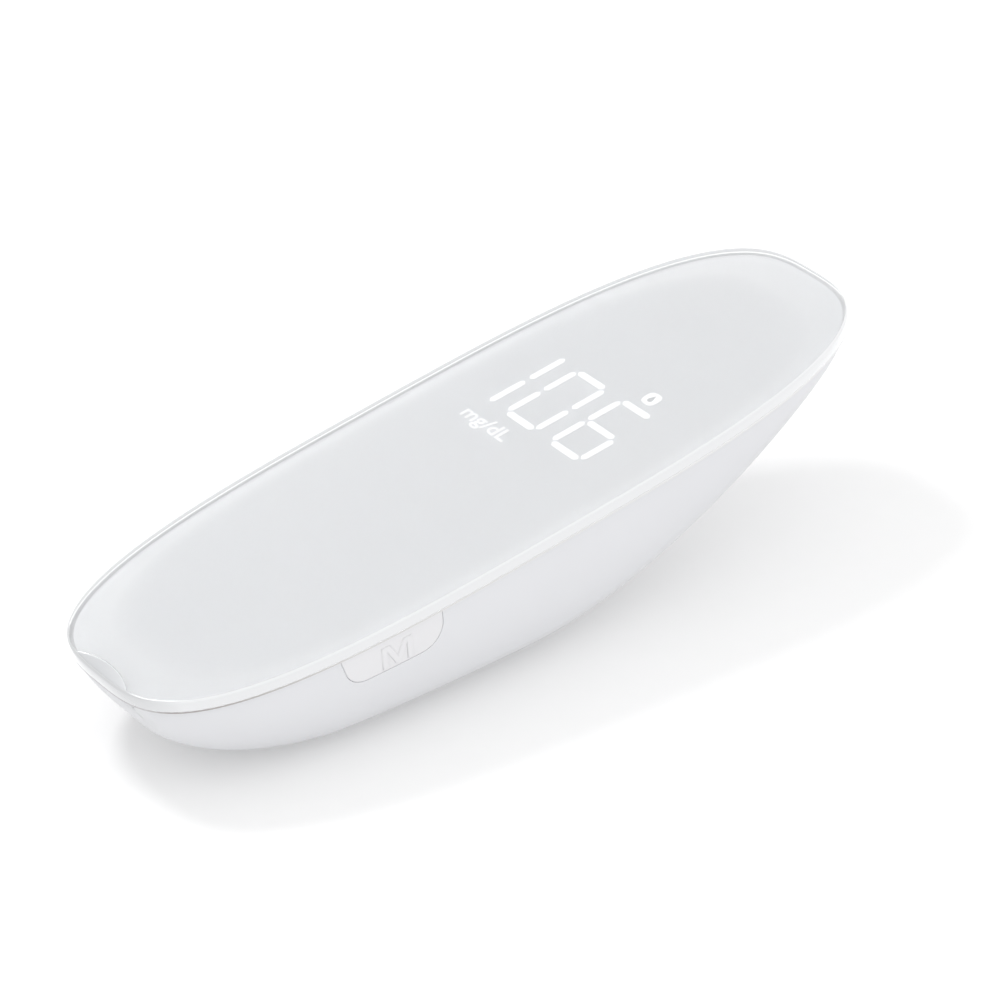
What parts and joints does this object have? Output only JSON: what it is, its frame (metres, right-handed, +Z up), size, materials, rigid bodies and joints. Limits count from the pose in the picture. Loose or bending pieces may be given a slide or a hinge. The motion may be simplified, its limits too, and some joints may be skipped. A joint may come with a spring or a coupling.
{
  "type": "blood glucose meter",
  "caption": "Boat-shaped blood glucose meter with a clear cover, lit digits, strip port in the nose, memory button and strip ejector.",
  "frame": {"origin": "middle of the flat on the belly that the meter rests on", "axes": "+X along the meter towards the display end, +Z up, memory button on the -Y side"},
  "size_m": [0.0944, 0.034, 0.0238],
  "materials": {
    "clear_cover": "clear, polished",
    "white_film": "printed, cool white",
    "diffuser": "translucent, matt",
    "guide_white": "matt",
    "led": "clear resin",
    "deck_white": "satin",
    "housing_white": "satin gloss",
    "bezel_white": "satin",
    "connector_black": "moulded",
    "contact_gold": "gold plated",
    "board_green": "solder mask",
    "chip_black": "moulded",
    "shield_steel": "tinned",
    "button_white": "satin gloss",
    "switch_black": "moulded",
    "plunger_white": "moulded",
    "knob_white": "satin gloss",
    "arm_black": "moulded",
    "spring_steel": "drawn wire",
    "socket_steel": "plated",
    "cell_wrap": "foil pouch",
    "foam_black": "closed-cell foam",
    "lead_black": "insulation",
    "plug_white": "moulded",
    "screw_steel": "zinc plated"
  },
  "bodies": {
    "meter_body": {"top_lens": "clear_cover", "backing_film": "white_film", "display_diffuser": "diffuser", "segment_guide": "guide_white", "segment_leds": "led", "top_deck": "deck_white", "lower_housing": "housing_white", "port_bezel": "bezel_white", "strip_connector": "connector_black", "strip_contacts": "contact_gold", "main_pcb": "board_green", "processor_chip": "chip_black", "board_chips": "chip_black", "wireless_module": "shield_steel", "memory_switch": "switch_black", "ejector_spring": "spring_steel", "usb_socket": "socket_steel", "battery": "cell_wrap", "battery_pad": "foam_black", "battery_leads": "lead_black", "battery_connector": "plug_white", "housing_screws": "screw_steel"},
    "memory_button": {"memory_button": "button_white"},
    "switch_plunger": {"switch_plunger": "plunger_white"},
    "strip_ejector": {"ejector_slider": "knob_white", "ejector_arm": "arm_black"}
  },
  "joints": [
    {"name": "button_press", "type": "slide", "parent": "meter_body", "child": "memory_button", "axis": [0, 1, 0], "range_m": [0, 0.00045], "stiffness_N_per_m": 300, "springref_m": -0.0005},
    {"name": "plunger_press", "type": "slide", "parent": "meter_body", "child": "switch_plunger", "axis": [0, 1, 0], "range_m": [0, 0.00045]},
    {"name": "ejector_slide", "type": "slide", "parent": "meter_body", "child": "strip_ejector", "axis": [-0.9925, 0, -0.1219], "range_m": [0, 0.005], "stiffness_N_per_m": 60, "springref_m": -0.003, "deforming": ["ejector_spring"]}
  ],
  "couplings": [
    {"joint": "plunger_press", "follows": "button_press", "ratio": 1}
  ]
}
